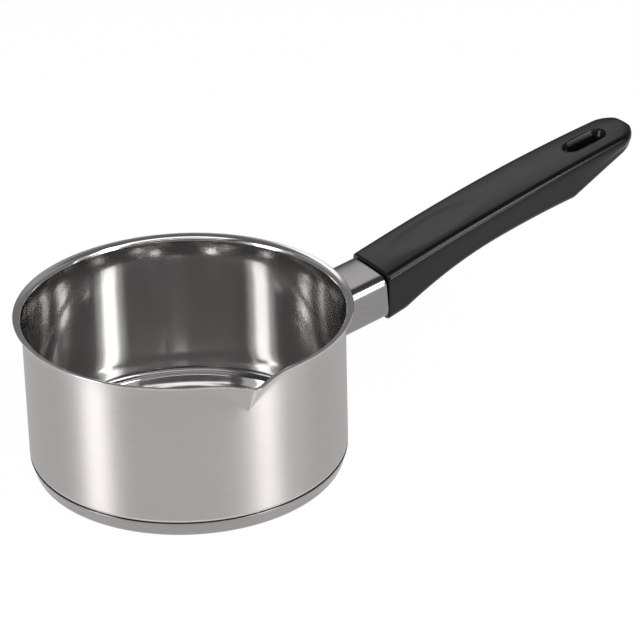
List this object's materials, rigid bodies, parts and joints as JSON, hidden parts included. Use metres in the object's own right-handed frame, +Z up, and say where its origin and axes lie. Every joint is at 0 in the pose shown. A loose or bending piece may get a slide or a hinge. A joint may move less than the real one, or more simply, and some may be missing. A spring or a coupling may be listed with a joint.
{
  "type": "saucepan",
  "caption": "Straight-walled steel saucepan with an outturned rim, a pressed pouring lip, a capsule base and a black moulded handle with a hanging slot.",
  "frame": {"origin": "centre of the base's underside, where the pan stands", "axes": "+Z up along the pan's axis, +X from the pan's axis towards the handle's tip, so the pouring lip is near -Y"},
  "size_m": [0.3577, 0.1768, 0.1196],
  "materials": {
    "pan_steel": "satin outside, polished inside",
    "core_aluminium": "as pressed",
    "base_steel": "polished band, turned underside",
    "guard_steel": "polished",
    "handle_phenolic": "satin moulded",
    "fastener_steel": "zinc plated"
  },
  "bodies": {
    "root": {"pan_body": "pan_steel", "base_core": "core_aluminium", "base_cap": "base_steel", "flame_guard": "guard_steel", "handle_grip": "handle_phenolic", "handle_bracket": "fastener_steel", "bracket_nut": "fastener_steel", "tie_screw": "fastener_steel", "flat_washer": "fastener_steel", "spring_washer": "fastener_steel"}
  },
  "joints": []
}
